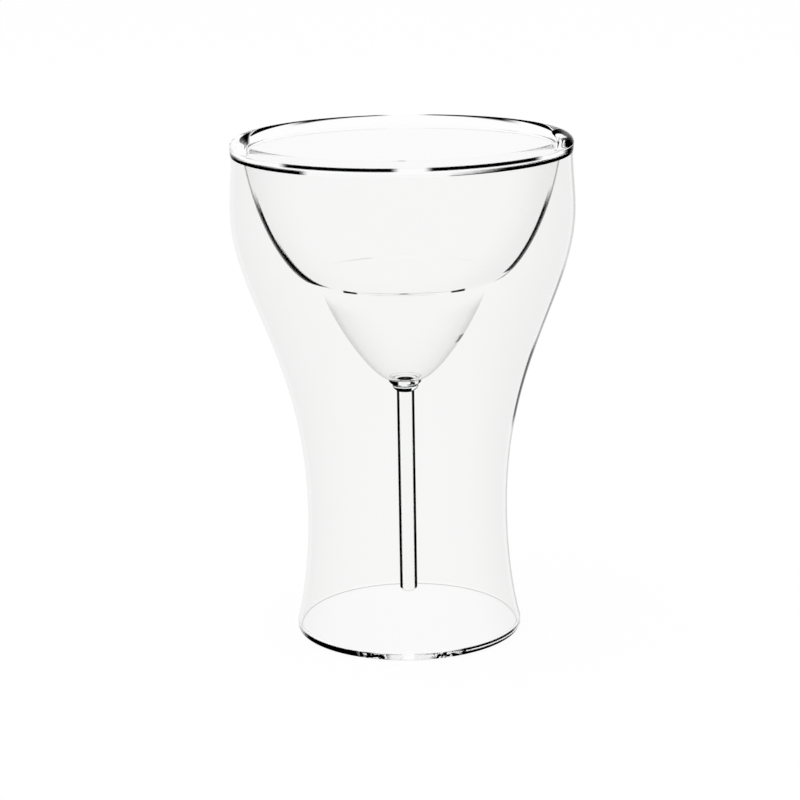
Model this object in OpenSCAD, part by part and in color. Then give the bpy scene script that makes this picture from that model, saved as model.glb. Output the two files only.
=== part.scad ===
// Double-walled margarita glass: a stepped bowl hung by its rim inside a waisted outer wall,
// with a plain rod for a stem that ends just above the floor. Clear flame-fused glass.
// Millimetres. The glass stands on z = 0 and is round about the Z axis.

/* [Outer wall] */
// Thickness of the outer wall
wall_t = 1.2; // [0.8:0.1:1.8]
// Widest diameter of the foot, at the heel
foot_d = 68; // [64:1:80]
// How far the wall leans out at the foot, in degrees from upright
foot_lean = 14; // [0:1:24]
// Outer diameter at the waist
waist_d = 60; // [50:1:62]
// Height of the waist above the table
waist_h = 37; // [28:1:48]
// Outer diameter at the belly
belly_d = 101; // [94:1:116]
// Height from the waist up to the belly
flare_h = 91; // [76:1:110]
// Height from the belly up to the rim bead
shoulder_h = 16.6; // [8:0.2:28]
// Length of the curve's pull below the waist
foot_pull = 11; // [5:0.5:14]
// Length of the curve's pull above the waist
waist_pull = 47; // [30:1:52]
// Length of the curve's pull below the belly
belly_pull = 25; // [15:1:30]

/* [Rim bead] */
// Outer diameter of the rim bead
rim_d = 100; // [92:1:114]
// Height of the rim bead
rim_h = 4.4; // [3.8:0.1:6]
// Height of the bead's widest line above its underside
rim_widest_h = 2.4; // [1.6:0.1:3]
// How far the bead stands out over each wall
rim_lip = 0.3; // [0.1:0.05:0.6]
// Air gap between the two walls where the bead closes them
rim_gap = 2.2; // [1.2:0.1:3]
// Height of the gap's arched top above the bead's underside
rim_arch_h = 2; // [1.6:0.1:3]
// Height of the round part of that arch
rim_arch_round = 1.4; // [0.8:0.1:1.6]

/* [Upper bowl] */
// Thickness of the blown bowl
bowl_t = 0.9; // [0.7:0.1:1.6]
// Depth of the upper bowl, from the bead's underside to the ledge
bowl_depth = 37.3; // [28:0.1:44]
// Lean of the bowl's side at the top, in degrees from upright
bowl_lean = 9; // [0:1:14]
// Length of the curve's pull down the side
bowl_side_pull = 24; // [16:0.5:30]
// Length of the curve's pull along the ledge
bowl_ledge_pull = 5; // [1:0.2:12]
// Fall of the ledge towards the cup, in degrees from level
ledge_fall = 7; // [0:1:16]
// Width of the ledge outside the cup's mouth
ledge_w = 2.2; // [1:0.1:5]

/* [Lower cup] */
// Outer diameter of the cup's mouth, where its side meets the ledge
cup_mouth_d = 51; // [42:0.5:58]
// Depth of the cup below the ledge, outside
cup_depth = 30.2; // [24:0.2:36]
// Lean of the cup's side, in degrees from upright
cup_lean = 20; // [8:1:28]
// Length of the bend from the ledge into the cup's side
neck_h = 3.7; // [2:0.1:6]
// Length of the curve's pull down the cup's side
cup_side_pull = 13; // [8:0.5:18]
// Length of the curve's pull along the cup's floor
cup_floor_pull = 4; // [2:0.5:10]

/* [Stem] */
// Diameter of the stem rod
rod_d = 5.2; // [4:0.1:8]
// Radius that the flame gave the rod's free end
tip_round = 1.3; // [0.6:0.1:1.8]
// Clear height between the rod's free end and the floor
tip_gap = 9.2; // [4:0.2:20]
// Diameter of the weld bead where it meets the cup's floor
weld_d = 9.8; // [9:0.2:14]
// Height of the weld bead's upper roll
upper_roll_h = 1.9; // [1.2:0.1:3]
// Height of the weld bead's lower roll
lower_roll_h = 1.8; // [1.2:0.1:3]
// How far each roll swells
roll_swell = 0.5; // [0.2:0.1:1]
// How far the crease between the rolls stands out from the rod
crease_w = 1.1; // [0.6:0.1:1.4]

/* [Base] */
// Thickness of the floor disc
base_t = 1.6; // [1.2:0.1:3]
// Radius of the rounded heel
heel_r = 1.5; // [0.8:0.1:2]
// Radius of the fillet between floor and wall
corner_r = 0.8; // [0.5:0.1:1.6]

/* [Hidden] */
$fn = 96;
// Straight pieces in each curved stretch
steps = 20;
glass = [0.90, 0.95, 0.95, 0.45];

// Heights, from the table up to the rim and down again to the rod's tip
seat_z = base_t + corner_r * (1 + sin(foot_lean));
heel_top_z = heel_r * (1 + sin(foot_lean));
belly_z = waist_h + flare_h;
rim_z = belly_z + shoulder_h;
ledge_z = rim_z - bowl_depth;
cup_z = ledge_z - cup_depth;
crease_z = cup_z - upper_roll_h;
rod_z = crease_z - lower_roll_h;
tip_z = base_t + tip_gap;

// Radii at the rim, which is as wide as the two walls, the gap between them and its own lips
rim_r = rim_d / 2;
bowl_top_w = bowl_t / cos(bowl_lean);
rim_w = wall_t + rim_gap + bowl_top_w + 2 * rim_lip;
wall_top_r = rim_r - rim_lip;
gap_out_r = wall_top_r - wall_t;
bowl_top_r = gap_out_r - rim_gap;

// Radii of wall and stem
waist_r = waist_d / 2;
belly_r = belly_d / 2;
weld_r = weld_d / 2;
rod_r = rod_d / 2;
crease_r = rod_r + crease_w;

// Radii at the foot, where heel and fillet both run smoothly into the wall
foot_r = foot_d / 2;
heel_mid_r = foot_r - heel_r;
seat_r = heel_mid_r + heel_r * cos(foot_lean) - (seat_z - heel_top_z) * tan(foot_lean);
foot_inner_r = seat_r - wall_t / cos(foot_lean);
disc_r = foot_inner_r - corner_r * cos(foot_lean);

// Point at t on the curve with control points p
function cubic(p, t) =
    pow(1 - t, 3) * p[0] + 3 * t * pow(1 - t, 2) * p[1] + 3 * t * t * (1 - t) * p[2] + pow(t, 3) * p[3];

// Direction of the curve at t, with length 1
function heading(p, t) =
    let (v = pow(1 - t, 2) * (p[1] - p[0]) + 2 * t * (1 - t) * (p[2] - p[1]) + t * t * (p[3] - p[2]))
    v / norm(v);

// Point at t moved square to the curve, towards the inside on a curve that runs downwards
function inset(p, t, depth) = let (v = heading(p, t)) cubic(p, t) + depth * [v[1], -v[0]];

// Point at t moved level, by as much as leaves the same wall
function level_inset(p, t, depth) = cubic(p, t) - [depth / abs(heading(p, t)[1]), 0];

// All points of a row of curves that follow each other, without the very last point
function run(curves, depth) = [for (c = curves) for (i = [0 : steps - 1]) inset(c, i / steps, depth)];

// The same list from its end to its start
function turned(list) = [for (i = [len(list) - 1 : -1 : 0]) list[i]];

// The list without its first point
function rest(list) = [for (i = [1 : len(list) - 1]) list[i]];

// Part of an ellipse about c with half axes a, from one angle to another
function arc(c, a, from, to) =
    [for (i = [0 : steps]) let (w = from + (to - from) * i / steps) c + [a[0] * cos(w), a[1] * sin(w)]];

// Unit steps along the ledge, outwards, and down the cup's side
ledge_way = [cos(ledge_fall), sin(ledge_fall)];
cup_way = [-sin(cup_lean), -cos(cup_lean)];

// Outer face of the outer wall, from the bead down to the foot
wall_curves = [
    [[wall_top_r, rim_z], [wall_top_r, rim_z - shoulder_h / 3], [belly_r, belly_z + shoulder_h / 3],
     [belly_r, belly_z]],
    [[belly_r, belly_z], [belly_r, belly_z - belly_pull], [waist_r, waist_h + waist_pull], [waist_r, waist_h]],
    [[waist_r, waist_h], [waist_r, waist_h - foot_pull],
     [seat_r, seat_z] + foot_pull * [-sin(foot_lean), cos(foot_lean)], [seat_r, seat_z]]
];

// Outer face of the bowl, from the bead down the side, over the ledge and down to the cup's floor
ledge_corner = [cup_mouth_d / 2, ledge_z];
ledge_start = ledge_corner + ledge_w * ledge_way;
neck_end = ledge_corner + neck_h * cup_way;
bowl_curves = [
    [[bowl_top_r, rim_z], [bowl_top_r, rim_z] - bowl_side_pull * [sin(bowl_lean), cos(bowl_lean)],
     ledge_start + bowl_ledge_pull * ledge_way, ledge_start],
    [ledge_start, (ledge_start + 2 * ledge_corner) / 3, (neck_end + 2 * ledge_corner) / 3, neck_end],
    [neck_end, neck_end + cup_side_pull * cup_way, [weld_r + cup_floor_pull, cup_z], [weld_r, cup_z]]
];

// Two rolls of the weld bead, from the cup's floor down to the rod
weld_curves = [
    [[weld_r, cup_z], [weld_r + roll_swell, cup_z - upper_roll_h / 3],
     [crease_r + roll_swell, crease_z + upper_roll_h / 6], [crease_r, crease_z]],
    [[crease_r, crease_z], [crease_r + roll_swell, crease_z - lower_roll_h / 3],
     [rod_r + roll_swell, rod_z + lower_roll_h / 6], [rod_r, rod_z]]
];

// Flat floor of the glass, let into the seal ring
module base_disc() {
    color(glass) cylinder(r = disc_r, h = base_t);
}

// Ring of melted glass that joins floor and wall, with the rounded heel and the inner fillet
module base_seal() {
    color(glass) rotate_extrude()
        polygon(concat(
            [[disc_r, 0]],
            arc([heel_mid_r, heel_r], [heel_r, heel_r], -90, foot_lean),
            [[seat_r, seat_z]],
            arc([disc_r, base_t + corner_r], [corner_r, corner_r], foot_lean, -90)
        ));
}

// Waisted outer wall, standing on the seal ring
module outer_wall() {
    foot = wall_curves[len(wall_curves) - 1];
    color(glass) rotate_extrude()
        polygon(concat(
            run(wall_curves, 0),
            [cubic(foot, 1), level_inset(foot, 1, wall_t)],
            turned(rest(run(wall_curves, wall_t))),
            [level_inset(wall_curves[0], 0, wall_t)]
        ));
}

// Stepped bowl, blown in one piece
module inner_bowl() {
    color(glass) rotate_extrude()
        polygon(concat(
            run(bowl_curves, 0),
            [[weld_r, cup_z], [0, cup_z], [0, cup_z + bowl_t], [weld_r, cup_z + bowl_t]],
            turned(rest(run(bowl_curves, bowl_t))),
            [level_inset(bowl_curves[0], 0, bowl_t)]
        ));
}

// Round lip that joins the two walls over the arched top of their gap
module rim_bead() {
    middle = [rim_r - rim_w / 2, rim_z + rim_widest_h];
    half_w = rim_w / 2;
    lip_in = [half_w - rim_lip, 0];
    arch_middle = [gap_out_r - rim_gap / 2, rim_z + rim_arch_h - rim_arch_round];
    color(glass) rotate_extrude()
        polygon(concat(
            arc(middle + lip_in, [rim_lip, rim_widest_h], -90, 0),
            rest(arc(middle, [half_w, rim_h - rim_widest_h], 0, 180)),
            rest(arc(middle - lip_in, [rim_lip, rim_widest_h], 180, 270)),
            [[bowl_top_r, rim_z]],
            arc(arch_middle, [rim_gap / 2, rim_arch_round], 180, 0),
            [[gap_out_r, rim_z]]
        ));
}

// Gather of glass that welds the rod to the cup's floor
module stem_bead() {
    color(glass) rotate_extrude()
        polygon(concat([[0, cup_z]], run(weld_curves, 0), [[rod_r, rod_z], [0, rod_z]]));
}

// Plain solid rod with a fire-polished free end
module stem_rod() {
    color(glass) rotate_extrude()
        polygon(concat(
            [[0, rod_z], [rod_r, rod_z]],
            arc([rod_r - tip_round, tip_z + tip_round], [tip_round, tip_round], 0, -90),
            [[0, tip_z]]
        ));
}

base_disc();
base_seal();
outer_wall();
inner_bowl();
rim_bead();
stem_bead();
stem_rod();
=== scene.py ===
"""Looks of a clear double-walled margarita glass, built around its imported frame.

Every piece is turned about the Z axis, in metres, from the frame's own boxes and a few sizes of the glass.
Pieces that the flame melted together meet in a seam that bends no light, so they look like one glass.
"""

from __future__ import annotations

import logging
import math
from dataclasses import dataclass, field, replace
from enum import Enum
from typing import Any, Mapping, Optional, Sequence, Union

import bmesh
import bpy
from mathutils import Matrix, Vector

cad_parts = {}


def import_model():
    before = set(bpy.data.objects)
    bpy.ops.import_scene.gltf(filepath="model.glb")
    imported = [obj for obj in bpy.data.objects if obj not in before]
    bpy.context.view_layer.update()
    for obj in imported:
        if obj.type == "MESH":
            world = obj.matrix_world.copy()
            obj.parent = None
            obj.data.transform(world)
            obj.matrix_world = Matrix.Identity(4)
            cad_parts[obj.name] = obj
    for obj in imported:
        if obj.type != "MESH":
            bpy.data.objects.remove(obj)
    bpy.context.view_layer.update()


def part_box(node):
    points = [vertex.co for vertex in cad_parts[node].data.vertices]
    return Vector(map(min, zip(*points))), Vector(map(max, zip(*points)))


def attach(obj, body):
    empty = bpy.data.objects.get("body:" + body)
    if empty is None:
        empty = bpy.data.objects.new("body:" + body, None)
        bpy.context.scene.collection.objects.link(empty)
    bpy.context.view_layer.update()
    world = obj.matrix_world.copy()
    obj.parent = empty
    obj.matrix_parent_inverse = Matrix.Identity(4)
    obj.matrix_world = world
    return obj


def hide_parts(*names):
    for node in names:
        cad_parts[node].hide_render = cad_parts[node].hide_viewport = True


MM = 0.001
# Points that are closer than this are one point.
TOUCH = 0.001 * MM
# A distance from the axis that is past the glass's widest ring.
OUTSIDE = 60.0 * MM
# Step in a noise's value, either way, over which a spot comes and goes.
SPOT_EDGE = 0.03
BODY = "root"
LOG = logging.getLogger("glass")


class Face(Enum):
    """What a stretch of a turned outline is.

    SEAM is fused to another piece, INSIDE looks to the axis, LIP is the rim's outer part and ARCH the outer
    half of the top of the air gap. GLASS is everything else.
    """

    GLASS = 0
    SEAM = 1
    INSIDE = 2
    LIP = 3
    ARCH = 4


class Side(Enum):
    """From which side of a face something shows."""

    BOTH = 0
    AIR = 1
    GLASS = 2


class Half(Enum):
    """Half of the glass, as the photograph shows it."""

    LEFT = -1
    RIGHT = 1


class Signal:
    """A value in a shader that Python's operators turn into Math nodes."""

    def __init__(self, shader: "Shader", socket: bpy.types.NodeSocket) -> None:
        """Wraps an output socket of one shader."""
        self.shader = shader
        self.socket = socket

    def _with(self, operation: str, first: "Value", second: "Value") -> "Signal":
        """Adds one Math node.

        Args:
            operation: The Math node's operation.
            first: Its first value.
            second: Its second value.

        Returns:
            The node's result.
        """
        return self.shader.node("ShaderNodeMath", {"operation": operation}, {0: first, 1: second})

    def __add__(self, other: "Value") -> "Signal":
        """This value plus another."""
        return self._with("ADD", self, other)

    def __radd__(self, other: "Value") -> "Signal":
        """Another value plus this one."""
        return self._with("ADD", other, self)

    def __sub__(self, other: "Value") -> "Signal":
        """This value less another."""
        return self._with("SUBTRACT", self, other)

    def __rsub__(self, other: "Value") -> "Signal":
        """Another value less this one."""
        return self._with("SUBTRACT", other, self)

    def __mul__(self, other: "Value") -> "Signal":
        """This value times another."""
        return self._with("MULTIPLY", self, other)

    def __rmul__(self, other: "Value") -> "Signal":
        """Another value times this one."""
        return self._with("MULTIPLY", other, self)


Value = Union[Signal, float, Sequence[float]]


class Shader:
    """The node tree of one material or of the world."""

    def __init__(self, owner: Union[bpy.types.Material, bpy.types.World]) -> None:
        """Clears the owner's tree and starts a new one."""
        owner.use_nodes = True
        self.tree = owner.node_tree
        self.tree.nodes.clear()

    def node(
        self,
        kind: str,
        settings: Mapping[str, Any] = {},
        sockets: Mapping[Union[str, int], Value] = {},
        output: Union[str, int] = 0,
    ) -> Signal:
        """Adds a node.

        Args:
            kind: The node's type.
            settings: Properties of the node, set first.
            sockets: Values or links of its inputs, by name or number.
            output: The output that is passed on.

        Returns:
            That output.
        """
        made = self.tree.nodes.new(kind)
        for name, setting in settings.items():
            setattr(made, name, setting)
        for name, value in sockets.items():
            if isinstance(value, Signal):
                self.tree.links.new(value.socket, made.inputs[name])
            else:
                made.inputs[name].default_value = value
        return Signal(self, made.outputs[output])

    def ramp(self, value: Signal, start: float, end: float) -> Signal:
        """Smooth step from 0 where the value is at the start to 1 where it is at the end."""
        settings = {"interpolation_type": "SMOOTHSTEP"}
        low, high = min(start, end), max(start, end)
        sockets = {"Value": value, "From Min": low, "From Max": high}
        rising = self.node("ShaderNodeMapRange", settings, sockets)
        return rising if end > start else 1 - rising

    def mixed(self, share: Value, first: Signal, second: Signal) -> Signal:
        """The first shader, with a share of the second in its place."""
        return self.node("ShaderNodeMixShader", sockets={0: share, 1: first, 2: second})

    def seen(self) -> Signal:
        """1 for a ray that looks at something, straight or by mirror or glass, and 0 for any other."""
        names = ("Is Camera Ray", "Is Glossy Ray", "Is Transmission Ray")
        camera, mirror, through = (self.node("ShaderNodeLightPath", output=name) for name in names)
        return self.node("ShaderNodeClamp", sockets={0: camera + mirror + through})

    def finish(self, surface: Signal, kind: str = "ShaderNodeOutputMaterial") -> None:
        """Joins the surface to the tree's output node."""
        out = self.tree.nodes.new(kind)
        self.tree.links.new(surface.socket, out.inputs["Surface"])


@dataclass(frozen=True)
class Zone:
    """Part of the glass in which something shows: a stretch of height, and of width about the Y axis.

    Attributes:
        low: Height at which it begins to show, in metres.
        high: Height at which it has gone again, in metres.
        blur: Heights over which it comes and goes, in metres.
        near: Distance from its middle at which it begins to show, in metres, or None if it shows all across.
        far: Distance from its middle at which it has gone again, in metres.
        middle: Its middle along X, in metres.
        side_blur: Distance over which it comes and goes, in metres.
        spots: Spots for each metre that it is broken into, or 0 if it is whole.
        bare: Value of the spots' noise below which nothing shows.
        behind: Place along Y from which on it shows, in metres, or None if it shows all round.
    """

    low: float = -1.0
    high: float = 1.0
    blur: tuple[float, float] = (6.0 * MM, 6.0 * MM)
    near: Optional[float] = None
    far: float = 1.0
    middle: float = 0.0
    side_blur: float = 3.0 * MM
    spots: float = 0.0
    bare: float = 0.5
    behind: Optional[float] = None

    def share(self, shader: Shader, place: Signal) -> Signal:
        """How much shows at a place on the glass.

        Args:
            shader: The shader it is for.
            place: The place, in the glass's own coordinates.

        Returns:
            A share from 0 to 1.
        """

        def along(axis: str) -> Signal:
            """The place along one axis."""
            return shader.node("ShaderNodeSeparateXYZ", sockets={0: place}, output=axis)

        height = along("Z")
        comes = shader.ramp(height, self.low, self.low + self.blur[0])
        shown = comes * shader.ramp(height, self.high, self.high - self.blur[1])
        if self.spots:
            sockets = {"Vector": place, "Scale": self.spots, "Detail": 2.0}
            noise = shader.node("ShaderNodeTexNoise", sockets=sockets)
            shown = shown * shader.ramp(noise, self.bare - SPOT_EDGE, self.bare + SPOT_EDGE)
        if self.behind is not None:
            shown = shown * shader.ramp(along("Y"), self.behind, self.behind + self.side_blur)
        if self.near is None:
            return shown
        away = shader.node("ShaderNodeMath", {"operation": "ABSOLUTE"}, {0: along("X") - self.middle})
        shown = shown * shader.ramp(away, self.near, self.near + self.side_blur)
        return shown * shader.ramp(away, self.far, self.far - self.side_blur)


def beside(half: Half, start: float, blur: float, end: float = 1.0) -> dict[str, float]:
    """Fields of a zone that lies to one side of the axis.

    Args:
        half: The side.
        start: Distance from the axis at which it begins to show, in metres.
        blur: Distance over which it comes and goes, in metres.
        end: Distance from the axis at which it has gone again, in metres.

    Returns:
        The zone's fields along X.
    """
    middle = -half.value * OUTSIDE
    return {"near": OUTSIDE + start, "far": OUTSIDE + end, "middle": middle, "side_blur": blur}


def about(middle: float, reach: float, blur: float) -> dict[str, float]:
    """Fields of a zone that lies about a middle.

    Args:
        middle: The middle along X, in metres.
        reach: Distance from the middle at which it has gone, in metres.
        blur: Distance over which it goes, in metres.

    Returns:
        The zone's fields along X.
    """
    return {"near": -MM, "far": reach, "middle": middle, "side_blur": blur}


@dataclass(frozen=True)
class EdgeShade:
    """Painted dark line where a face is seen edge-on, or a painted dark stroke on a face, for dark
    reflections.

    Attributes:
        start: Where it begins, from 0 for a face seen square-on to 1 for one seen edge-on.
        full: Where it is complete.
        tone: What is left of the light there.
        zone: Where it shows.
        side: From which side of the face it shows.
    """

    start: float
    full: float
    tone: float
    zone: Zone = Zone()
    side: Side = Side.BOTH

    @classmethod
    def stroke(cls, zone: Zone, tone: float = 0.0) -> "EdgeShade":
        """A painted dark reflection on the outside of the glass, which shows however its face is turned."""
        return cls(start=-0.1, full=0.0, tone=tone, zone=zone, side=Side.AIR)

    def share(self, shader: Shader, place: Signal) -> Signal:
        """How much of it a place on the glass shows, from 0 to 1."""
        facing = shader.node("ShaderNodeLayerWeight", sockets={"Blend": 0.5}, output="Facing")
        share = shader.ramp(facing, self.start, self.full) * self.zone.share(shader, place)
        if self.side is Side.BOTH:
            return share
        inside = shader.node("ShaderNodeNewGeometry", output="Backfacing")
        return share * (inside if self.side is Side.GLASS else 1 - inside)


@dataclass(frozen=True)
class Mirror:
    """Light that the glass mirrors inside its walls, where it can't get out, darkened where dark reflections
    are painted.

    Attributes:
        tone: What is left of that light; below 1 it is a painted darkening.
        dark_tone: What is left of it in the painted dark zones.
        dark: The zones where dark reflections are painted.
        start: Mirrored share of the light at which it begins to count.
    """

    tone: float = 1.0
    dark_tone: float = 0.0
    dark: tuple[Zone, ...] = ()
    start: float = 0.3


@dataclass(frozen=True)
class GlassFinish:
    """Clear glass with the slight waves that the flame and the drawing of the tube leave.

    Attributes:
        name: The material's name.
        slot: The record's material slot; not used.
        tint: What is left of white light after one face.
        wave_scale: Waves for each metre along X, Y and Z.
        wave_height: Height of the waves, in metres.
        smear_scale: Smears for each metre.
        film: Highest roughness where the surface is least clean.
        ior: How strongly it bends light.
        mirror: What it mirrors, with its painted dark reflections.
        edges: Painted dark lines along its edges and painted dark strokes, which stand in for dark
            reflections.
    """

    name: str
    slot: str
    tint: tuple[float, float, float] = (0.993, 0.994, 0.993)
    wave_scale: tuple[float, float, float] = (60.0, 60.0, 60.0)
    wave_height: float = 0.01 * MM
    smear_scale: float = 35.0
    film: float = 0.012
    ior: float = 1.47
    mirror: Mirror = Mirror()
    edges: tuple[EdgeShade, ...] = ()

    def part(self, name: str, mirror: Mirror, edges: tuple[EdgeShade, ...] = ()) -> "GlassFinish":
        """The same glass for some of a piece's faces.

        Args:
            name: What those faces are.
            mirror: What they mirror.
            edges: Painted dark lines and strokes on them, which stand in for dark reflections.

        Returns:
            Their finish.
        """
        return replace(self, name=f"{self.name}_{name}", mirror=mirror, edges=edges)

    def material(self) -> bpy.types.Material:
        """Makes the glass, or finds it where another piece has it.

        Returns:
            The material.
        """
        found = bpy.data.materials.get(self.name)
        if found:
            return found
        made = bpy.data.materials.new(self.name)
        shader = Shader(made)
        place = shader.node("ShaderNodeTexCoord", output="Object")
        stretched = shader.node(
            "ShaderNodeVectorMath", {"operation": "MULTIPLY"}, {0: place, 1: self.wave_scale}
        )
        waves = shader.node("ShaderNodeTexNoise", sockets={"Vector": stretched, "Scale": 1.0, "Detail": 1.0})
        spread = {"Vector": place, "Scale": self.smear_scale, "Detail": 4.0}
        smears = shader.node("ShaderNodeTexNoise", sockets=spread)
        bump = shader.node(
            "ShaderNodeBump", sockets={"Strength": 1.0, "Distance": self.wave_height, "Height": waves}
        )
        surface = {"Roughness": smears * self.film, "Normal": bump}

        def clear(tone: float) -> Signal:
            """Glass that lets a tone of the light through."""
            colour = (*(tone * part for part in self.tint), 1.0)
            sockets = {"Color": colour, "IOR": self.ior, **surface}
            return shader.node("ShaderNodeBsdfRefraction", sockets=sockets)

        def mirrored(tone: float) -> Signal:
            """Glass that mirrors a tone of the light."""
            return shader.node("ShaderNodeBsdfGlossy", sockets={"Color": (tone, tone, tone, 1.0), **surface})

        bends = clear(1.0)
        # Painted dark reflections: each edge line or stroke mixes in glass that lets less light through.
        for edge in self.edges:
            bends = shader.mixed(edge.share(shader, place), bends, clear(edge.tone))
        # Painted dark reflections inside the walls: a tone below 1 and the dark zones mirror less light.
        mirrors = mirrored(self.mirror.tone)
        for zone in self.mirror.dark:
            mirrors = shader.mixed(zone.share(shader, place), mirrors, mirrored(self.mirror.dark_tone))
        fresnel = shader.node("ShaderNodeFresnel", sockets={"IOR": self.ior, "Normal": bump})
        shader.finish(shader.mixed(shader.ramp(fresnel, self.mirror.start, 1.0), bends, mirrors))
        return made


@dataclass(frozen=True)
class SeamFinish:
    """The place inside fused glass where two pieces met, which lets light straight through."""

    name: str = "fused_seam"

    def material(self) -> bpy.types.Material:
        """Makes the seam, once for all pieces.

        Returns:
            The material.
        """
        found = bpy.data.materials.get(self.name)
        if found:
            return found
        made = bpy.data.materials.new(self.name)
        shader = Shader(made)
        shader.finish(shader.node("ShaderNodeBsdfTransparent"))
        return made


Point = tuple[float, float]


@dataclass(frozen=True)
class Bend:
    """A smooth curve in an outline, from its start to its end, with a pull at each."""

    start: Point
    start_pull: Point
    end_pull: Point
    end: Point

    def _blend(self, weights: Sequence[float]) -> Vector:
        """Weighted sum of the four control points."""
        points = (self.start, self.start_pull, self.end_pull, self.end)
        return sum((w * Vector(p) for w, p in zip(weights, points)), Vector((0.0, 0.0)))

    def at(self, t: float) -> Vector:
        """Point at t, from 0 at the start to 1 at the end."""
        s = 1 - t
        return self._blend((s ** 3, 3 * t * s * s, 3 * t * t * s, t ** 3))

    def heading(self, t: float) -> Vector:
        """Direction at t, with length 1."""
        s = 1 - t
        return self._blend((-s * s, s * s - 2 * t * s, 2 * t * s - t * t, t * t)).normalized()

    def points(self, steps: int, depth: float = 0.0) -> list[Point]:
        """Points along the curve.

        Args:
            steps: Number of straight pieces.
            depth: How far the points are moved square to the curve, inwards on one that runs down.

        Returns:
            The points, both ends included.
        """
        found = []
        for i in range(steps + 1):
            way = self.heading(i / steps)
            found.append(tuple(self.at(i / steps) + depth * Vector((way.y, -way.x))))
        return found


def arc(centre: Point, half_axes: Point, start: float, end: float, steps: int = 24) -> list[Point]:
    """Points on part of an ellipse.

    Args:
        centre: Its centre.
        half_axes: Its half axes across and up.
        start: First angle, in degrees.
        end: Last angle, in degrees.
        steps: Number of straight pieces.

    Returns:
        The points, both ends included.
    """
    angles = [math.radians(start + (end - start) * i / steps) for i in range(steps + 1)]
    return [
        (centre[0] + half_axes[0] * math.cos(a), centre[1] + half_axes[1] * math.sin(a)) for a in angles
    ]


def away(angle: float) -> Point:
    """Step of length 1 in the outline's plane, at an angle in degrees from level."""
    return math.cos(math.radians(angle)), math.sin(math.radians(angle))


def moved(point: Point, way: Point, length: float) -> Point:
    """The point that lies that far from another along a direction."""
    return point[0] + length * way[0], point[1] + length * way[1]


@dataclass
class Outline:
    """Stretches that follow each other round the section of a turned piece."""

    points: list[Point] = field(default_factory=list)
    faces: list[Face] = field(default_factory=list)

    def add(self, points: Sequence[Point], face: Face = Face.GLASS) -> "Outline":
        """Adds a stretch.

        Args:
            points: Its points. The first is left out where it is the last stretch's end.
            face: What the stretch is.

        Returns:
            The outline, for the next stretch.
        """
        for point in points:
            if self.points and math.dist(point, self.points[-1]) < TOUCH:
                continue
            if self.points:
                self.faces.append(face)
            self.points.append(tuple(point))
        return self

    def close(self, face: Face = Face.GLASS) -> "Outline":
        """Closes the outline with a straight stretch back to its start, unless it is there already."""
        if math.dist(self.points[0], self.points[-1]) < TOUCH:
            self.points.pop()
        else:
            self.faces.append(face)
        return self


@dataclass(frozen=True)
class Lathe:
    """Turns outlines into closed meshes.

    Attributes:
        around: Number of faces round the axis.
        crease: Angle between faces from which on their edge is sharp, in degrees.
    """

    around: int = 240
    crease: float = 40.0

    def turn(self, name: str, outline: Outline) -> bpy.types.Object:
        """Turns an outline about the Z axis.

        Args:
            name: The piece's name.
            outline: Its section, closed or from axis to axis.

        Returns:
            The new object, with the outline's faces as its material numbers.
        """
        mesh = bmesh.new()
        rings = [self._ring(mesh, point) for point in outline.points]
        count = len(rings)
        for i, face in enumerate(outline.faces):
            lower, upper = rings[i], rings[(i + 1) % count]
            for j in range(self.around):
                corners = [lower[j], lower[j - 1], upper[j - 1], upper[j]]
                unique = list(dict.fromkeys(corners))
                if len(unique) > 2:
                    mesh.faces.new(unique).material_index = face.value
        bmesh.ops.recalc_face_normals(mesh, faces=mesh.faces)
        data = bpy.data.meshes.new(name)
        mesh.to_mesh(data)
        mesh.free()
        data.shade_smooth()
        data.set_sharp_from_angle(angle=math.radians(self.crease))
        made = bpy.data.objects.new(name, data)
        bpy.context.scene.collection.objects.link(made)
        return made

    def _ring(self, mesh: bmesh.types.BMesh, point: Point) -> list[bmesh.types.BMVert]:
        """The vertices that a point of the outline passes through: one vertex on the axis, or a ring."""
        radius, height = point
        if radius < TOUCH:
            return [mesh.verts.new((0.0, 0.0, height))] * self.around
        turns = [2 * math.pi * j / self.around for j in range(self.around)]
        return [mesh.verts.new((radius * math.cos(a), radius * math.sin(a), height)) for a in turns]


@dataclass(frozen=True)
class Span:
    """Radius and heights of a turned node of the frame."""

    radius: float
    low: float
    high: float

    @classmethod
    def of(cls, node: str) -> "Span":
        """Reads a node's box from the frame."""
        low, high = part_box(node)
        return cls((high.x - low.x) / 2, low.z, high.z)


@dataclass
class TurnedPiece:
    """A piece of the glass that stands for one node of the frame.

    Attributes:
        node: The node.
        finish: Its glass.
        lathe: What turns it.
        parts: Glass of the kinds of face that differ.
    """

    node: str
    finish: GlassFinish
    lathe: Lathe = Lathe()
    parts: Mapping[Face, GlassFinish] = field(default_factory=dict)

    def outline(self) -> Outline:
        """The piece's section."""
        raise NotImplementedError

    def build(self) -> bpy.types.Object:
        """Turns the piece, dresses it and puts it on its body.

        Returns:
            The new piece.
        """
        piece = self.lathe.turn(self.node + "_glass", self.outline())
        self.dress(piece)
        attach(piece, BODY)
        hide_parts(self.node)
        LOG.info("%s: %d faces, %s", piece.name, len(piece.data.polygons), self.finish.name)
        return piece

    def dress(self, piece: bpy.types.Object) -> None:
        """Gives each kind of face its glass, and the fused seams theirs."""
        for face in Face:
            finish = SeamFinish() if face is Face.SEAM else self.parts.get(face, self.finish)
            piece.data.materials.append(finish.material())


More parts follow.
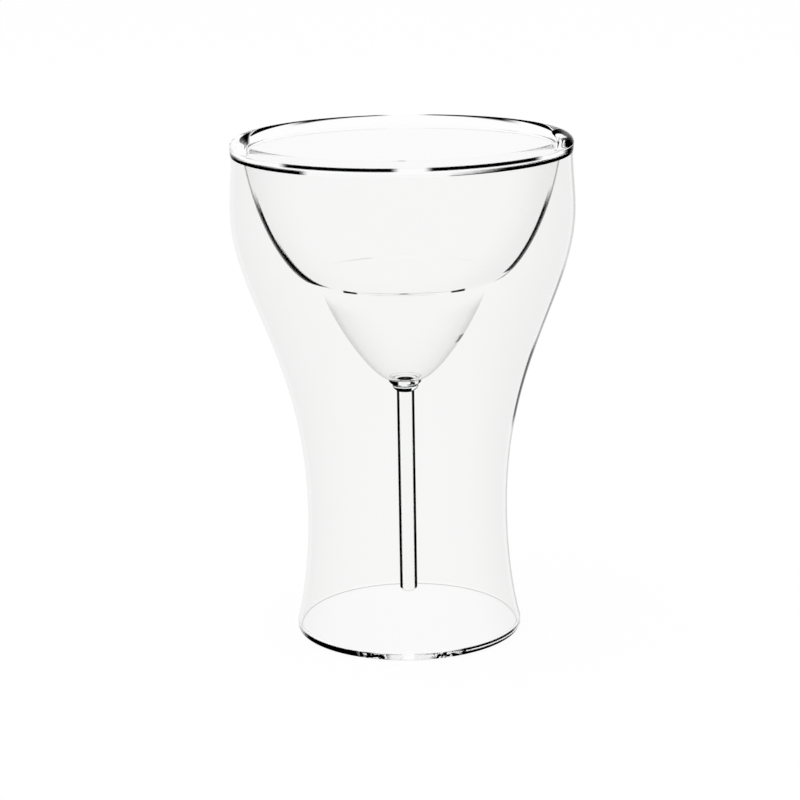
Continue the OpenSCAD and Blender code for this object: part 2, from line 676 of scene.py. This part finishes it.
@dataclass
class OuterWall(TurnedPiece):
    """Waisted outer wall.

    Attributes:
        thickness: Thickness of the glass.
        top_radius: Outer radius under the rim bead.
        belly_height: Height of the widest ring.
        waist_radius: Outer radius of the narrowest ring.
        waist_height: Height of the narrowest ring.
        foot_radius: Outer radius on the base seal.
        foot_lean: Lean of the wall there, in degrees.
        belly_pull: How far the curve follows the belly's upright line.
        waist_pull: How far it follows the waist's upright line upwards.
        foot_pull: How far it follows the lines of waist and foot between them.
        steps: Straight pieces of the three curves.
    """

    thickness: float = 1.2 * MM
    top_radius: float = 49.7 * MM
    belly_height: float = 128.0 * MM
    waist_radius: float = 30.0 * MM
    waist_height: float = 37.0 * MM
    foot_radius: float = 33.773 * MM
    foot_lean: float = 14.0
    belly_pull: float = 25.0 * MM
    waist_pull: float = 47.0 * MM
    foot_pull: float = 11.0 * MM
    steps: tuple[int, int, int] = (12, 48, 24)

    def bends(self) -> list[Bend]:
        """Curves of the outer face, from the rim bead down to the foot."""
        span = Span.of(self.node)
        belly = (span.radius, self.belly_height)
        waist = (self.waist_radius, self.waist_height)
        top = (self.top_radius, span.high)
        foot = (self.foot_radius, span.low)
        third = (span.high - self.belly_height) / 3
        return [
            Bend(top, moved(top, (0, -1), third), moved(belly, (0, 1), third), belly),
            Bend(belly, moved(belly, (0, -1), self.belly_pull), moved(waist, (0, 1), self.waist_pull), waist),
            Bend(
                waist,
                moved(waist, (0, -1), self.foot_pull),
                moved(foot, away(90 + self.foot_lean), self.foot_pull),
                foot,
            ),
        ]

    def outline(self) -> Outline:
        """Outer face, foot seam, inner face and rim seam."""
        outer, inner = Outline(), Outline()
        for bend, count in zip(self.bends(), self.steps):
            outer.add(bend.points(count))
            inner.add(bend.points(count, self.thickness))
        span = Span.of(self.node)
        level = self.thickness / math.cos(math.radians(self.foot_lean))
        inside = inner.points[:-1] + [(self.foot_radius - level, span.low)]
        return outer.add([inside[-1]], Face.SEAM).add(inside[::-1], Face.INSIDE).close(Face.SEAM)


@dataclass
class InnerBowl(TurnedPiece):
    """Stepped bowl with its lower cup.

    Attributes:
        thickness: Thickness of the glass.
        lean: Lean of the side under the rim bead, in degrees.
        side_pull: How far the curve follows that side.
        ledge_pull: How far it follows the ledge.
        ledge_height: Height of the corner between ledge and cup.
        ledge_fall: Slope of the ledge towards the cup, in degrees.
        ledge_width: Width of the ledge's rounded end.
        mouth_radius: Outer radius of the corner.
        cup_lean: Lean of the cup's side at its mouth, in degrees.
        neck: Length of the cup's side that the corner takes up.
        cup_side_pull: How far the curve follows the cup's side.
        cup_floor_pull: How far it follows the cup's floor.
        weld_radius: Radius of the floor that is welded to the gather of glass.
        steps: Straight pieces of the three curves.
    """

    thickness: float = 0.9 * MM
    lean: float = 9.0
    side_pull: float = 24.0 * MM
    ledge_pull: float = 5.0 * MM
    ledge_height: float = 107.3 * MM
    ledge_fall: float = 7.0
    ledge_width: float = 2.2 * MM
    mouth_radius: float = 25.5 * MM
    cup_lean: float = 20.0
    neck: float = 3.7 * MM
    cup_side_pull: float = 13.0 * MM
    cup_floor_pull: float = 4.0 * MM
    weld_radius: float = 4.9 * MM
    steps: tuple[int, int, int] = (48, 24, 36)

    def bends(self) -> list[Bend]:
        """Curves of the outer face, from the rim bead down to the cup's floor."""
        span = Span.of(self.node)
        top = (span.radius, span.high)
        corner = (self.mouth_radius, self.ledge_height)
        outwards = away(self.ledge_fall)
        down = away(270 - self.cup_lean)
        ledge = moved(corner, outwards, self.ledge_width)
        neck = moved(corner, down, self.neck)
        floor = (self.weld_radius, span.low)
        return [
            Bend(
                top,
                moved(top, away(270 - self.lean), self.side_pull),
                moved(ledge, outwards, self.ledge_pull),
                ledge,
            ),
            Bend(
                ledge,
                moved(corner, outwards, self.ledge_width / 3),
                moved(corner, down, self.neck / 3),
                neck,
            ),
            Bend(
                neck,
                moved(neck, down, self.cup_side_pull),
                moved(floor, (1, 0), self.cup_floor_pull),
                floor,
            ),
        ]

    def outline(self) -> Outline:
        """Outer face, weld seam, inner face and rim seam."""
        span = Span.of(self.node)
        outer, inner = Outline(), Outline()
        for bend, count in zip(self.bends(), self.steps):
            outer.add(bend.points(count))
            inner.add(bend.points(count, self.thickness))
        level = self.thickness / math.cos(math.radians(self.lean))
        inside = [(span.radius - level, span.high)] + inner.points[1:] + [(0.0, span.low + self.thickness)]
        return outer.add([(0.0, span.low)], Face.SEAM).add(inside[::-1], Face.INSIDE).close(Face.SEAM)


@dataclass
class RimBead(TurnedPiece):
    """Round lip that joins the walls over the arched top of their air gap.

    Attributes:
        lip: How far it stands out past the walls.
        widest: Height of its widest ring above its underside.
        wall: Thickness of the outer wall.
        gap: Width of the air gap.
        bowl_wall: Thickness of the bowl.
        bowl_lean: Lean of the bowl's side, in degrees.
        arch: Height of the gap's top above the underside.
        arch_round: Height of the arch's round part.
        lip_end: Angle on the round top at which the outer part ends, in degrees.
        brim_start: Angle at which the part that looks to the axis begins, in degrees.
        turn: Angle from one point of the round top to the next, in degrees.
        lip_steps: Straight pieces of the inner lip.
        arch_steps: Straight pieces of each half of the arch.
    """

    lip: float = 0.3 * MM
    widest: float = 2.4 * MM
    wall: float = 1.2 * MM
    gap: float = 2.2 * MM
    bowl_wall: float = 0.9 * MM
    bowl_lean: float = 9.0
    arch: float = 2.0 * MM
    arch_round: float = 1.4 * MM
    lip_end: float = 30.0
    brim_start: float = 105.0
    turn: float = 1.875
    lip_steps: int = 24
    arch_steps: int = 32

    def top(self, centre: Point, half_axes: Point, start: float, end: float) -> list[Point]:
        """Points on part of the round top, from one angle to another."""
        return arc(centre, half_axes, start, end, round((end - start) / self.turn))

    def outline(self) -> Outline:
        """Round top from the outer wall over to the bowl, and the arch of the gap below."""
        span = Span.of(self.node)
        wall_out = span.radius - self.lip
        gap_out = wall_out - self.wall
        gap_in = gap_out - self.gap
        bowl_in = gap_in - self.bowl_wall / math.cos(math.radians(self.bowl_lean))
        half = (span.radius - bowl_in + self.lip) / 2
        height = span.low + self.widest
        round_top = ((span.radius - half, height), (half, span.high - height))
        crown = (gap_out - self.gap / 2, span.low + self.arch - self.arch_round)
        half_arch = (self.gap / 2, self.arch_round)
        made = Outline().add(arc((wall_out, height), (self.lip, self.widest), -90, 0), Face.LIP)
        made.add(self.top(*round_top, 0, self.lip_end), Face.LIP)
        made.add(self.top(*round_top, self.lip_end, self.brim_start))
        made.add(self.top(*round_top, self.brim_start, 180), Face.INSIDE)
        inmost, joint = (bowl_in - self.lip, height), (bowl_in, span.low)
        inwards = moved(joint, away(90 - self.bowl_lean), self.widest / 3)
        inner_lip = Bend(inmost, moved(inmost, (0, -1), self.widest / 3), inwards, joint)
        made.add(inner_lip.points(self.lip_steps), Face.INSIDE)
        made.add([(gap_in, span.low)], Face.SEAM).add(arc(crown, half_arch, 180, 90, self.arch_steps))
        made.add(arc(crown, half_arch, 90, 0, self.arch_steps) + [(gap_out, span.low)], Face.ARCH)
        return made.close(Face.SEAM)


@dataclass
class StemBead(TurnedPiece):
    """Gather of glass, in two rolls, that welds the rod to the cup.

    Attributes:
        top_radius: Radius at the cup.
        crease_radius: Radius between the rolls.
        rod_radius: Radius at the rod.
        crease_share: Height of the crease, as a share of the whole.
        swell: How far the rolls swell.
        steps: Straight pieces of each roll.
    """

    top_radius: float = 4.9 * MM
    crease_radius: float = 3.7 * MM
    rod_radius: float = 2.6 * MM
    crease_share: float = 0.49
    swell: float = 0.5 * MM
    steps: int = 20

    def outline(self) -> Outline:
        """Upper roll, lower roll and the seams to cup and rod."""
        span = Span.of(self.node)
        crease_height = span.low + (span.high - span.low) * self.crease_share
        heights = (span.high, crease_height, span.low)
        radii = (self.top_radius, self.crease_radius, self.rod_radius)
        made = Outline().add([(0.0, span.high), (radii[0], span.high)], Face.SEAM)
        for i in range(2):
            drop = heights[i] - heights[i + 1]
            made.add(
                Bend(
                    (radii[i], heights[i]),
                    (radii[i] + self.swell, heights[i] - drop / 3),
                    (radii[i + 1] + self.swell, heights[i + 1] + drop / 6),
                    (radii[i + 1], heights[i + 1]),
                ).points(self.steps)
            )
        return made.add([(0.0, span.low)], Face.SEAM)


@dataclass
class StemRod(TurnedPiece):
    """Plain solid rod with a fire-polished free end.

    Attributes:
        tip_round: Radius of the free end's edge.
    """

    tip_round: float = 1.3 * MM

    def outline(self) -> Outline:
        """Side, rounded tip and the seam to the weld."""
        span = Span.of(self.node)
        centre = (span.radius - self.tip_round, span.low + self.tip_round)
        made = Outline().add([(0.0, span.high), (span.radius, span.high)], Face.SEAM)
        made.add(arc(centre, (self.tip_round, self.tip_round), 0, -90))
        return made.add([(0.0, span.low)])


@dataclass
class BaseSeal(TurnedPiece):
    """Ring of melted glass that joins floor and wall.

    Attributes:
        heel: Radius of the heel.
        corner: Radius of the inner fillet.
        lean: Lean of the wall on it, in degrees.
    """

    heel: float = 1.5 * MM
    corner: float = 0.8 * MM
    lean: float = 14.0

    def outline(self) -> Outline:
        """Underside, heel, wall seam, fillet and floor seam."""
        span = Span.of(self.node)
        disc = Span.of("base_disc")
        heel = arc((span.radius - self.heel, span.low + self.heel), (self.heel, self.heel), -90, self.lean)
        slope = math.tan(math.radians(self.lean))
        seat = (heel[-1][0] - (span.high - heel[-1][1]) * slope, span.high)
        fillet = arc((disc.radius, disc.high + self.corner), (self.corner, self.corner), self.lean, -90)
        made = Outline().add([(disc.radius, span.low)]).add(heel).add([seat])
        made.add([fillet[0]], Face.SEAM).add(fillet, Face.INSIDE)
        return made.close(Face.SEAM)


@dataclass
class BaseDisc(TurnedPiece):
    """Flat floor disc, let into the seal ring.

    Attributes:
        rings: Rings of faces from the axis to the rim.
    """

    rings: int = 12

    def outline(self) -> Outline:
        """Underside, rim seam and floor."""
        span = Span.of(self.node)
        shares = [i / self.rings for i in range(self.rings + 1)]
        made = Outline().add([(span.radius * share, span.low) for share in shares])
        made.add([(span.radius, span.high)], Face.SEAM)
        return made.add([(span.radius * share, span.high) for share in reversed(shares)])


@dataclass(frozen=True)
class PhotoCamera:
    """Camera at the photograph's viewing angle.

    Attributes:
        place: Where it stands, in metres.
        pitch: How far it looks down, in degrees.
        roll: How far it is turned about its own line of sight, in degrees.
        focal: Focal length, in pixels of the frame.
        frame: Width of the frame, in pixels.
        sensor: Width of the sensor, in millimetres.
    """

    place: tuple[float, float, float] = (-1.7 * MM, -700.5 * MM, 247.6 * MM)
    pitch: float = 14.22
    roll: float = -0.98
    focal: float = 2425.7
    frame: float = 800.0
    sensor: float = 36.0

    def build(self) -> bpy.types.Object:
        """Makes the camera and hands it to the scene.

        Returns:
            The camera.
        """
        data = bpy.data.cameras.new("photo_camera")
        data.sensor_width = self.sensor
        data.lens = data.sensor_width * self.focal / self.frame
        made = bpy.data.objects.new("photo_camera", data)
        bpy.context.scene.collection.objects.link(made)
        level = Matrix.Rotation(math.radians(90 - self.pitch), 4, "X")
        turned = Matrix.Rotation(math.radians(self.roll), 4, "Z")
        made.matrix_world = Matrix.Translation(self.place) @ level @ turned
        bpy.context.scene.camera = made
        LOG.info("camera: lens %.1f mm", data.lens)
        return made


@dataclass
class Studio:
    """White floor and surroundings with a soft lamp.

    Attributes:
        ambient: Strength of the surroundings' light on matt things.
        floor_reach: Half the floor's width, in metres.
        floor_gap: How far the floor lies under the glass, in metres.
        floor_glow: Share of the floor's look that is plain white, without the shadow.
        floor_white: How much of the light the floor's paint gives back.
        lamp_size: Width of the lamp, in metres.
        lamp_power: Power of the lamp, in watts.
        lamp_place: Where the lamp hangs, in metres.
        lamp_target: What it points at, in metres.
        bounces: Turns of a light ray in the glass that are followed.
    """

    ambient: float = 0.9
    floor_reach: float = 8.0
    floor_gap: float = 0.1 * MM
    floor_glow: float = 0.95
    floor_white: float = 0.93
    lamp_size: float = 1.6
    lamp_power: float = 12.0
    lamp_place: tuple[float, float, float] = (-0.4, -0.2, 1.8)
    lamp_target: tuple[float, float, float] = (0.0, 0.0, 0.07)
    bounces: int = 400

    def build(self) -> None:
        """Sets up everything round the glass."""
        self._surroundings()
        self._floor()
        self._lamp()
        settings = bpy.context.scene.cycles
        settings.max_bounces = self.bounces
        settings.glossy_bounces = self.bounces
        settings.transmission_bounces = self.bounces
        settings.transparent_max_bounces = self.bounces
        bpy.context.scene.view_settings.view_transform = "Standard"
        LOG.info("studio: white floor and one soft lamp")

    def _surroundings(self) -> None:
        """White to whatever looks at it, and a soft light to the rest."""
        world = bpy.data.worlds.new("surroundings")
        bpy.context.scene.world = world
        shader = Shader(world)
        strength = self.ambient + (1 - self.ambient) * shader.seen()
        sky = shader.node("ShaderNodeBackground", sockets={"Color": (1, 1, 1, 1), "Strength": strength})
        shader.finish(sky, "ShaderNodeOutputWorld")

    def _floor(self) -> None:
        """White floor that keeps a trace of the shadow and doesn't show in the glass."""
        data = bpy.data.meshes.new("floor")
        reach = self.floor_reach
        ways = ((-1, -1), (1, -1), (1, 1), (-1, 1))
        corners = [(reach * x, reach * y, -self.floor_gap) for x, y in ways]
        data.from_pydata(corners, [], [(0, 1, 2, 3)])
        floor = bpy.data.objects.new("floor", data)
        bpy.context.scene.collection.objects.link(floor)
        floor.visible_glossy = False
        floor.visible_transmission = False
        paint = bpy.data.materials.new("floor_paint")
        shader = Shader(paint)
        white = self.floor_white
        matt = shader.node("ShaderNodeBsdfDiffuse", sockets={"Color": (white, white, white, 1)})
        glow = shader.node("ShaderNodeEmission", sockets={"Color": (1, 1, 1, 1), "Strength": 1.0})
        shader.finish(shader.mixed(shader.seen() * self.floor_glow, matt, glow))
        data.materials.append(paint)

    def _lamp(self) -> None:
        """Large soft lamp above the glass."""
        data = bpy.data.lights.new("soft_lamp", "AREA")
        data.shape = "DISK"
        data.size = self.lamp_size
        data.energy = self.lamp_power
        lamp = bpy.data.objects.new("soft_lamp", data)
        bpy.context.scene.collection.objects.link(lamp)
        lamp.location = self.lamp_place
        way = Vector(self.lamp_target) - Vector(self.lamp_place)
        lamp.rotation_euler = way.to_track_quat("-Z", "Y").to_euler()
        lamp.visible_glossy = False
        lamp.visible_transmission = False


THIN = (0.2 * MM, 0.2 * MM)
SOFT = (0.5 * MM, 0.5 * MM)


def wall_finish() -> GlassFinish:
    """Glass of the outer wall, with painted shade towards its edges and painted dark reflections on them,
    darker on its right edge than its left.
    """
    right = beside(Half.RIGHT, 8.0 * MM, 12.0 * MM)
    flank = Zone(66.0 * MM, 114.0 * MM, **right)
    turn = Zone(62.0 * MM, 92.0 * MM, **right)
    return GlassFinish(
        "drawn_wall_glass",
        "wall_glass",
        tint=(0.981, 0.982, 0.980),
        wave_scale=(60.0, 60.0, 12.0),
        # Painted shade that darkens the glass towards its edges, and painted dark reflections along the
        # edges, stronger on the right side.
        edges=(
            EdgeShade(0.0, 1.0, 0.93),
            EdgeShade(0.82, 0.9, 0.9, side=Side.AIR),
            EdgeShade(0.25, 0.75, 0.94, Zone(**right), Side.AIR),
            EdgeShade(0.80, 0.88, 0.6, Zone(**right), Side.AIR),
            EdgeShade(0.82, 0.86, 0.3, flank, Side.AIR),
            EdgeShade(0.78, 0.83, 0.05, turn, Side.AIR),
        ),
    )


def bowl_finish() -> GlassFinish:
    """Glass of the bowl, with painted grey shade along the cup's edges and painted black reflections along
    the bowl's lower sides.
    """
    right = beside(Half.RIGHT, 8.0 * MM, 12.0 * MM)
    left = beside(Half.LEFT, 8.0 * MM, 12.0 * MM)
    hem = (0.5 * MM, 8.0 * MM)
    cup_dash = Zone(89.2 * MM, 91.8 * MM, THIN, **right)
    ledge_dashes = Zone(107.4 * MM, 109.5 * MM, THIN, 13.0 * MM, 17.5 * MM, side_blur=0.6 * MM)
    return GlassFinish(
        "blown_bowl_glass",
        "bowl_glass",
        tint=(0.999, 0.999, 0.999),
        # Painted shade and painted dark reflections along the contours, darker on the right and heavier black
        # on the left, with dashes on the cup and the ledge.
        edges=(
            EdgeShade(0.2, 0.95, 0.8, Zone(high=105.0 * MM), Side.AIR),
            EdgeShade(0.6, 0.9, 0.7, Zone(high=104.0 * MM), Side.AIR),
            EdgeShade(0.3, 1.0, 0.9, Zone(low=107.0 * MM), Side.AIR),
            EdgeShade(0.3, 0.8, 0.93, Zone(low=107.0 * MM, **right), Side.AIR),
            EdgeShade(0.83, 0.87, 0.35, Zone(low=109.0 * MM, blur=hem), Side.AIR),
            EdgeShade(0.75, 0.78, 0.0, Zone(111.5 * MM, 137.0 * MM, hem), Side.AIR),
            EdgeShade(0.75, 0.78, 0.0, Zone(109.0 * MM, 120.0 * MM, hem, **left), Side.AIR),
            EdgeShade(0.72, 0.76, 0.05, cup_dash, Side.AIR),
            EdgeShade(0.70, 0.75, 0.0, Zone(109.0 * MM, 124.0 * MM, hem, **left), Side.AIR),
            EdgeShade(0.66, 0.70, 0.0, ledge_dashes, Side.AIR),
        ),
    )


def rim_bead() -> RimBead:
    """The rim, with painted dark reflections: two bands on its lip, a line at its back and marks at its ends.
    """
    rim = GlassFinish("flame_round_glass", "rim_glass", wave_scale=(50.0, 50.0, 50.0))
    # Zones of painted dark reflections on the lip, the brim and the arch.
    lower_band = Zone(high=146.0 * MM, blur=SOFT, near=18.5 * MM, middle=-7.0 * MM)
    upper_band = Zone(146.1 * MM, 147.4 * MM, (0.3 * MM, 0.3 * MM), 3.0 * MM, 37.0 * MM, 2.6 * MM)
    back_line = Zone(near=5.0 * MM, middle=1.3 * MM, behind=12.0 * MM)
    back_edge = Zone(near=3.0 * MM, far=37.0 * MM, middle=1.3 * MM, side_blur=7.0 * MM)
    left_end = beside(Half.LEFT, 44.3 * MM, 0.7 * MM)
    crescent = Zone(low=146.3 * MM, blur=(0.5 * MM, 0.2 * MM), behind=-9.0 * MM, **left_end)
    right_end = Zone(**beside(Half.RIGHT, 44.0 * MM, 2.0 * MM))
    lip_painted_reflections = (
        EdgeShade(0.05, 0.25, 0.0, lower_band, Side.AIR),
        EdgeShade.stroke(upper_band),
        EdgeShade(0.13, 0.19, 0.0, back_edge, Side.GLASS),
    )
    parts = {
        Face.LIP: rim.part("lip", Mirror(dark=(back_line,)), lip_painted_reflections),
        Face.INSIDE: rim.part("brim", Mirror(), (EdgeShade.stroke(crescent),)),
        Face.ARCH: rim.part("arch", Mirror(dark=(right_end,))),
    }
    return RimBead("rim_bead", rim, parts=parts)


def weld_finish() -> GlassFinish:
    """Glass of the weld, with painted dark reflections: strokes in its two rolls and the crease between them,
    specks above, and dimmed mirrored light.
    """
    # Painted dark reflections on the weld, placed by height and by X.
    lower_roll = Zone(73.3 * MM, 74.9 * MM, THIN, **about(-0.8 * MM, 2.8 * MM, 0.4 * MM))
    upper_roll = Zone(75.6 * MM, 77.3 * MM, THIN, **about(-4.3 * MM, 2.4 * MM, 0.4 * MM))
    crease = Zone(75.0 * MM, 75.5 * MM, THIN, **about(-1.2 * MM, 4.2 * MM, 0.6 * MM))
    specks = Zone(75.9 * MM, 77.3 * MM, THIN, spots=700.0, bare=0.53)
    return GlassFinish(
        "gathered_weld_glass",
        "stem_glass",
        wave_scale=(150.0, 150.0, 150.0),
        mirror=Mirror(tone=0.95),
        edges=(
            EdgeShade(0.5, 0.8, 0.0, Zone(high=75.9 * MM, blur=THIN), Side.AIR),
            EdgeShade.stroke(lower_roll),
            EdgeShade.stroke(upper_roll),
            EdgeShade.stroke(crease, 0.1),
            EdgeShade.stroke(specks),
        ),
    )


def rod_finish() -> GlassFinish:
    """Glass of the rod, with painted black reflections along its sides that turn to painted grey shade at its
    free end, and dimmed mirrored light.
    """
    return GlassFinish(
        "solid_rod_glass",
        "stem_glass",
        wave_scale=(200.0, 200.0, 20.0),
        # Painted dark reflections: mirrored light is dimmed, and the sides are drawn dark where seen edge-on.
        mirror=Mirror(tone=0.7),
        edges=(
            EdgeShade(0.26, 0.38, 0.0, Zone(low=11.6 * MM, blur=SOFT), Side.AIR),
            EdgeShade(0.5, 0.9, 0.5, Zone(high=12.4 * MM, blur=SOFT), Side.AIR),
        ),
    )


def base_seal(base: GlassFinish) -> BaseSeal:
    """The seal, with painted dark reflections: strokes and specks on its heel and a thin line round the
    floor, and painted shade along its foot.

    Args:
        base: Glass of the whole base.

    Returns:
        The piece.
    """
    soft = (0.15 * MM, 0.3 * MM)
    strokes = {half: beside(half, 12.0 * MM, 4.0 * MM, 34.0 * MM) for half in Half}
    specks = {half: beside(half, 5.0 * MM, 3.0 * MM, 19.0 * MM) for half in Half}
    broken = {"spots": 900.0, "bare": 0.47}
    # Painted dark reflections on the heel: solid strokes to each side, a double stroke on the right, and
    # specks near the middle.
    dark = (
        Zone(0.1 * MM, 2.3 * MM, soft, **strokes[Half.LEFT]),
        Zone(0.1 * MM, 1.5 * MM, soft, **strokes[Half.RIGHT]),
        Zone(1.6 * MM, 2.5 * MM, soft, **strokes[Half.RIGHT]),
        Zone(0.1 * MM, 2.3 * MM, soft, **specks[Half.LEFT], **broken),
        Zone(0.1 * MM, 2.3 * MM, soft, **specks[Half.RIGHT], **broken),
    )
    # Painted shade along the heel's foot, and a painted grey line round the floor's edge.
    painted_foot_shade = EdgeShade.stroke(Zone(high=0.4 * MM, blur=THIN), 0.4)
    painted_floor_line = EdgeShade.stroke(Zone(1.65 * MM, 2.1 * MM, THIN), 0.7)
    seal = base.part("seal", Mirror(), (painted_foot_shade, *(EdgeShade.stroke(zone) for zone in dark)))
    fillet = base.part("fillet", Mirror(), (painted_floor_line,))
    return BaseSeal("base_seal", seal, parts={Face.INSIDE: fillet})


def glass_pieces() -> list[TurnedPiece]:
    """The pieces of the glass, from the base up."""
    base = GlassFinish("pressed_base_glass", "base_glass", wave_scale=(40.0, 40.0, 40.0))
    wall = wall_finish()
    bowl = bowl_finish()
    return [
        BaseDisc("base_disc", base),
        base_seal(base),
        OuterWall("outer_wall", wall, parts={Face.INSIDE: wall.part("inside", wall.mirror)}),
        InnerBowl("inner_bowl", bowl, parts={Face.INSIDE: bowl.part("inside", bowl.mirror)}),
        rim_bead(),
        StemBead("stem_bead", weld_finish()),
        StemRod("stem_rod", rod_finish(), Lathe(around=96)),
    ]


def main() -> None:
    """Loads the frame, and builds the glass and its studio."""
    logging.basicConfig(level=logging.INFO, format="%(name)s: %(message)s")
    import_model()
    for piece in glass_pieces():
        piece.build()
    PhotoCamera().build()
    Studio().build()


if __name__ == "__main__":
    main()
